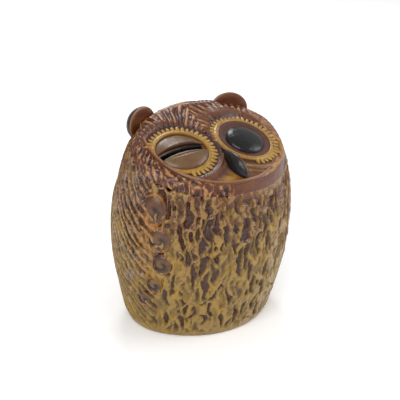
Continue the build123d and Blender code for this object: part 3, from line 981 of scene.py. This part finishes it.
def makeBrow(name, side, nodeName, strokes):
    rows, columns = 120, 34
    t = np.linspace(0, 1, rows)
    angles = np.radians(browRidge["from"] + browRidge["turn"] * t)
    wide = browRidge["wide"] * np.sin(math.pi * np.clip(t * 0.94 + 0.03, 0, 1)) ** 0.6
    across = np.linspace(0, 1, columns)
    radius = browRidge["inner"] + wide[:, None] * across[None]
    centre = eyes["open"] if side > 0 else eyes["winking"]
    u = centre + side * np.cos(angles)[:, None] * radius
    v = eyes["up"] + np.sin(angles)[:, None] * radius
    body = np.sin(math.pi * across)[None] ** 0.8 * np.sin(math.pi * t)[:, None] ** 0.5
    high = browRidge["high"] * body - 0.5
    groove = np.zeros_like(high)
    if strokes:
        turn = t * browRidge["strokes"]
        groove = (np.abs(turn - np.floor(turn) - 0.5) * 2)[:, None] ** 2 * smooth(0.05, 0.3, across)[None]
        high = high - 0.8 * groove * body
    top = onFace(u, v, high)
    under = onFace(u[:, ::-1], v[:, ::-1], -1.8)
    dip = np.concatenate([0.22 + 0.6 * groove, np.full(u.shape, 0.5)], axis=1)
    piece = skinRows(name, np.concatenate([top, under], axis=1), brownGlaze, {"dip": dip})
    finish(piece, "brown_glaze", nodeName)


makeBrow("leftBrow", 1, "left_brow", False)
makeBrow("rightBrow", -1, "right_brow", True)

beak = {"top": -16.0, "tip": -51.0, "half": 4.9, "high": 9.4, "sway": 1.6}


def makeBeak():
    # a curved leaf with a keel: broadest and highest at two thirds of its length
    t = np.linspace(0.004, 0.996, 90)
    v = beak["top"] + (beak["tip"] - beak["top"]) * t
    half = beak["half"] * np.sin(math.pi * t**1.87) ** 0.6
    tall = beak["high"] * np.sin(math.pi * t**1.75) ** 0.7
    turn = np.linspace(0, 2 * math.pi, 41)[:-1]
    side = np.cos(turn)
    lift = np.where(np.sin(turn) > 0, np.sin(turn) ** 1.25, -0.12)
    middle = beak["sway"] * smooth(0.6, 1.0, t)
    u = middle[:, None] + half[:, None] * side[None]
    tipLift = 1.4 * smooth(0.8, 1.0, t)
    high = tall[:, None] * lift[None] - 0.35 + tipLift[:, None]
    rows = onFace(u, v[:, None] * np.ones_like(u), high)
    # a pale line along the keel: partly thin glaze on the edge, partly a painted highlight
    keelThinGlazeAndHighlight = bump(turn, math.pi / 2, 0.2)[None] * np.ones_like(u) * 0.6
    piece = skinRows("beak", rows, blackGlaze, {"dip": np.full(u.shape, 0.25), "edge": keelThinGlazeAndHighlight})
    finish(piece, "black_glaze", "beak")


makeBeak()
print("crest, brows and beak made")

# ears
ear = {
    "across": 36.0, "back": 25.5, "up": 139.1, "halfWide": 13.6, "halfHigh": 11.8,
    "backThick": 8.5, "frontThick": 2.2, "lean": -8.0, "turn": 20.0,
}


def makeEar(name, side, nodeName):
    rings, spokes = 40, 64
    tilt = np.linspace(0.02, math.pi - 0.02, rings)
    turn = np.linspace(0, 2 * math.pi, spokes, endpoint=False)
    # the pole points backwards, so rows run from the back of the ear to its front
    y = np.cos(tilt)[:, None] * np.ones((1, spokes))
    x = np.sin(tilt)[:, None] * np.cos(turn)[None]
    z = np.sin(tilt)[:, None] * np.sin(turn)[None]
    inward = np.clip(1 - np.hypot(x, z), 0, 1)
    depth = np.where(y > 0, y * ear["backThick"], y * ear["frontThick"] + 2.6 * smooth(0.0, 0.7, inward))
    points = np.stack([x * ear["halfWide"], depth, z * ear["halfHigh"]], axis=-1)
    lean = Matrix.Rotation(math.radians(ear["lean"]), 3, "X")
    spin = Matrix.Rotation(math.radians(-side * ear["turn"]), 3, "Z") @ lean
    points = points @ np.array(spin).T + (side * ear["across"], ear["back"], ear["up"])
    soot = smooth(-0.12, 0.02, y)
    paleEdge = bump(y, -0.22, 0.1) * 0.5 * (1 - soot)
    marks = {"dip": np.full(y.shape, 0.22), "soot": soot, "edge": paleEdge}
    piece = skinRows(name, points, brownGlaze, marks)
    finish(piece, "brown_glaze", nodeName)


makeEar("leftEar", 1, "left_ear")
makeEar("rightEar", -1, "right_ear")

# wings, curls and tail
wing = {"back": 2.0, "up": 76.0, "high": 2.4, "sunk": 0.9}  # its middle, and how proud and how sunk
# the wing's outline: how far back and how far up
wingEdge = [
    (4, 121), (-12, 116), (-24, 103), (-29, 86), (-29, 68), (-24, 47), (-13, 31),
    (2, 18), (14, 30), (24, 48), (30, 66), (31, 84), (27, 102), (17, 115),
]


def sideWay(y):
    # the way round from the front to a point this far back on the side
    y = np.clip(np.asarray(y, float), -barrel["endRadius"] * 0.98, barrel["endRadius"] * 0.98)
    return frontLength + (np.arcsin(y / barrel["endRadius"]) + halfEnd) * barrel["endRadius"]


def closedCurve(stops, count):
    # a smooth closed line through some stops
    stops = np.array(stops, float)
    size = len(stops)
    t = np.linspace(0, size, count, endpoint=False)
    i = np.floor(t).astype(int)
    f = (t - i)[:, None]
    a, b, c, d = (stops[(i + k) % size] for k in (-1, 0, 1, 2))
    return 0.5 * (2 * b + (c - a) * f + (2 * a - 5 * b + 4 * c - d) * f**2 + (3 * b - a - 3 * c + d) * f**3)


def makeWing(name, side, nodeName):
    line = closedCurve(wingEdge, 340)
    way = sideWay(line[:, 0])
    middleWay, middleUp = float(sideWay(wing["back"])), wing["up"]
    outline = np.stack([way - middleWay, line[:, 1] - middleUp], axis=1)

    def place(a, b, high):
        return wrap(side * (middleWay + a), middleUp + b, high)

    def proud(a, b, share):
        return wing["high"] * (1 - share**7) - wing["sunk"]

    rows, a, b, high, onTop = patch(place, outline, proud, 1.6, 118)
    around, up = side * (middleWay + a), middleUp + b
    share = np.clip((high + wing["sunk"]) / wing["high"], 0, 1)
    marks = {
        "carve": np.where(onTop[:, None], 0.25 + 0.75 * share, 0.0), "flow": np.ones(a.shape),
        "strand": strandAt(around, up), "grain": rows,
        "orange": 0.4 * bump(middleWay + a, 70.0, 6.0) * smooth(40, 60, up) * (1 - smooth(96, 106, up)),
    }
    piece = skinRows(name, rows, featherGlaze, marks)
    carveFeathers(piece, wingGlaze, strandPitch=7.0, strandDeep=2.6)
    finish(piece, "feather_glaze", nodeName)


wingLook = dict(plumageLook, fieldLow=rgb(106, 82, 36), fieldHigh=rgb(94, 60, 34), poolLow=rgb(50, 28, 18),
                poolHigh=rgb(44, 20, 13), patchShare=0.7, crown=rgb(150, 116, 74), thinGlazeAndHighlightShare=0.7)
wingGlaze = makeGlaze("wingGlaze", wingLook)
makeWing("leftWing", 1, "left_wing")
makeWing("rightWing", -1, "right_wing")
print("wings carved")

# the curls down the wing's front edge: how far back, how far up, and radius
curls = [(-25.5, 99.0, 11.2), (-30.0, 79.0, 9.4), (-31.5, 61.0, 8.0), (-27.5, 44.0, 6.8), (-20.0, 30.0, 6.4)]
curlShape = {"dome": 2.2, "lip": 1.7, "groove": 1.1, "pitch": 1.1}


def makeCurls(name, side, nodeName):
    parts = []
    for number, (back, up, radius) in enumerate(curls):
        way = float(sideWay(back))

        def place(a, b, high):
            return wrap(side * (way + a), up + b, high)

        def spiral(a, b):
            distance = np.hypot(a, b)
            turn = np.arctan2(b, a)
            phase = distance / (radius * curlShape["pitch"]) - turn / (2 * math.pi) + 0.3
            return np.abs(phase - np.floor(phase) - 0.5) * 2, distance

        def proud(a, b, share):
            wave, _ = spiral(a, b)
            dome = curlShape["dome"] * np.sqrt(np.clip(1 - (share / 0.84) ** 2.4, 0, 1))
            lip = curlShape["lip"] * bump(share, 0.9, 0.07)
            inside = smooth(0.12, 0.3, share) * (1 - smooth(0.7, 0.84, share))
            return -0.5 + dome + lip - curlShape["groove"] * wave**3 * inside - 0.8 * smooth(0.96, 1, share)

        outline = ovalOutline(84, radius * 0.86, radius * 1.04)
        rows, a, b, _, _ = patch(place, outline, proud, 1.2, 30)
        wave, distance = spiral(a, b)
        dip = 0.5 + 0.6 * wave**3 - 0.35 * (1 - wave) ** 2
        rimMark = 0.8 * smooth(0.76, 0.88, distance / radius)
        partName = name if number == 0 else name + str(number)
        parts.append(skinRows(partName, rows, curlGlaze, {"dip": dip, "orange": rimMark}))
    finish(joinPieces(parts), "feather_glaze", nodeName)


curlLook = dict(plumageLook, fieldLow=rgb(88, 60, 38), fieldHigh=rgb(86, 54, 36), poolLow=rgb(48, 26, 20),
                poolHigh=rgb(44, 22, 17), patchShare=0.35, thinGlazeAndHighlightShare=0.3)
curlGlaze = makeGlaze("curlGlaze", curlLook)
makeCurls("leftWingCurls", 1, "left_wing_curls")
makeCurls("rightWingCurls", -1, "right_wing_curls")

tail = {
    "low": 6.0, "middle": 22.0, "high": 40.0, "halfLow": 24.0, "halfHigh": 15.0, "proud": 2.1, "sunk": 0.7,
}


def makeTail():
    stops = [
        (-tail["halfLow"], tail["low"]), (0, tail["low"] - 0.5), (tail["halfLow"], tail["low"]),
        (tail["halfLow"] - 3, 20), (tail["halfHigh"], 34), (0, tail["high"]),
        (-tail["halfHigh"], 34), (-tail["halfLow"] + 3, 20),
    ]
    outline = closedCurve(stops, 220) - (0, tail["middle"])

    def place(a, b, high):
        around = halfRound - np.abs(a)
        return wrap(np.where(a > 0, 1.0, -1.0) * around, tail["middle"] + b, high)

    def proud(a, b, share):
        return tail["proud"] * (1 - share**6) - tail["sunk"]

    rows, a, b, high, onTop = patch(place, outline, proud, 1.4, 60)
    share = np.clip((high + tail["sunk"]) / tail["proud"], 0, 1)
    marks = {
        "carve": np.where(onTop[:, None], 0.9 * share, 0.0), "flow": np.ones(a.shape),
        "strand": a + 0.004 * a * (b + tail["middle"]), "grain": rows,
    }
    piece = skinRows("tailFeathers", rows, featherGlaze, marks)
    carveFeathers(piece, featherGlaze, strandPitch=5.2, strandDeep=1.3)
    finish(piece, "feather_glaze", "tail_feathers")


makeTail()
print("curls and tail made")

# CAD pieces that stay as they are, with their own finish
for nodeName, finishUsed in (("base_floor", bareClay), ("stopper", stopperRubber)):
    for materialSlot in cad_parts[nodeName].material_slots:
        materialSlot.material = finishUsed

# floor, camera and light
floorMaterial, floorTree, floorShader = startMaterial("paleFloor")
floorShader.inputs["Base Color"].default_value = (0.98, 0.98, 0.98, 1)
floorShader.inputs["Roughness"].default_value = 0.6
floorMesh = bpy.data.meshes.new("floor")
reach = 4.0  # metres each way
corners = [(-reach, -reach, 0), (reach, -reach, 0), (reach, reach, 0), (-reach, reach, 0)]
floorMesh.from_pydata(corners, [], [(0, 1, 2, 3)])
floorMesh.materials.append(floorMaterial)
floorPiece = addPiece("floor", floorMesh)

shot = {
    "target": (0.0, 0.0, 0.072), "azimuth": -34.4, "elevation": 25.45, "distance": 0.7, "lens": 88.5,
    "roll": 2.9, "shiftX": -0.006, "shiftY": 0.04,
}
cameraData = bpy.data.cameras.new("camera")
camera = addPiece("camera", cameraData)
azimuth, elevation = math.radians(shot["azimuth"]), math.radians(shot["elevation"])
level = math.cos(elevation)
back = Vector((math.sin(azimuth) * level, -math.cos(azimuth) * level, math.sin(elevation)))
camera.location = Vector(shot["target"]) + back * shot["distance"]
aim = (-back).to_track_quat("-Z", "Y")
camera.rotation_mode = "QUATERNION"
camera.rotation_quaternion = aim @ Matrix.Rotation(math.radians(shot["roll"]), 3, "Z").to_quaternion()
cameraData.lens = shot["lens"]
cameraData.sensor_width = 36.0
cameraData.shift_x, cameraData.shift_y = shot["shiftX"], shot["shiftY"]
bpy.context.scene.camera = camera

lamps = {
    "key": {"at": (-1.0, -0.7, 1.0), "size": 1.0, "power": 16.0},
    "side": {"at": (1.2, -0.7, 0.8), "size": 1.0, "power": 12.0},
    "back": {"at": (0.35, 0.75, 1.0), "size": 0.35, "power": 4.0},
}
lampTarget = Vector((0, 0, 0.07))
for lampName, lamp in lamps.items():
    light = bpy.data.lights.new(lampName, "AREA")
    light.size, light.energy = lamp["size"], lamp["power"]
    lightPiece = addPiece(lampName, light)
    lightPiece.location = lamp["at"]
    lightPiece.rotation_mode = "QUATERNION"
    lightPiece.rotation_quaternion = (Vector(lamp["at"]) - lampTarget).to_track_quat("Z", "Y")
world = bpy.data.worlds.new("studio")
world.use_nodes = True
world.node_tree.nodes["Background"].inputs[0].default_value = (1, 1, 1, 1)
world.node_tree.nodes["Background"].inputs[1].default_value = 0.6
bpy.context.scene.world = world
bpy.context.scene.view_settings.view_transform = "Standard"

print("scene ready")
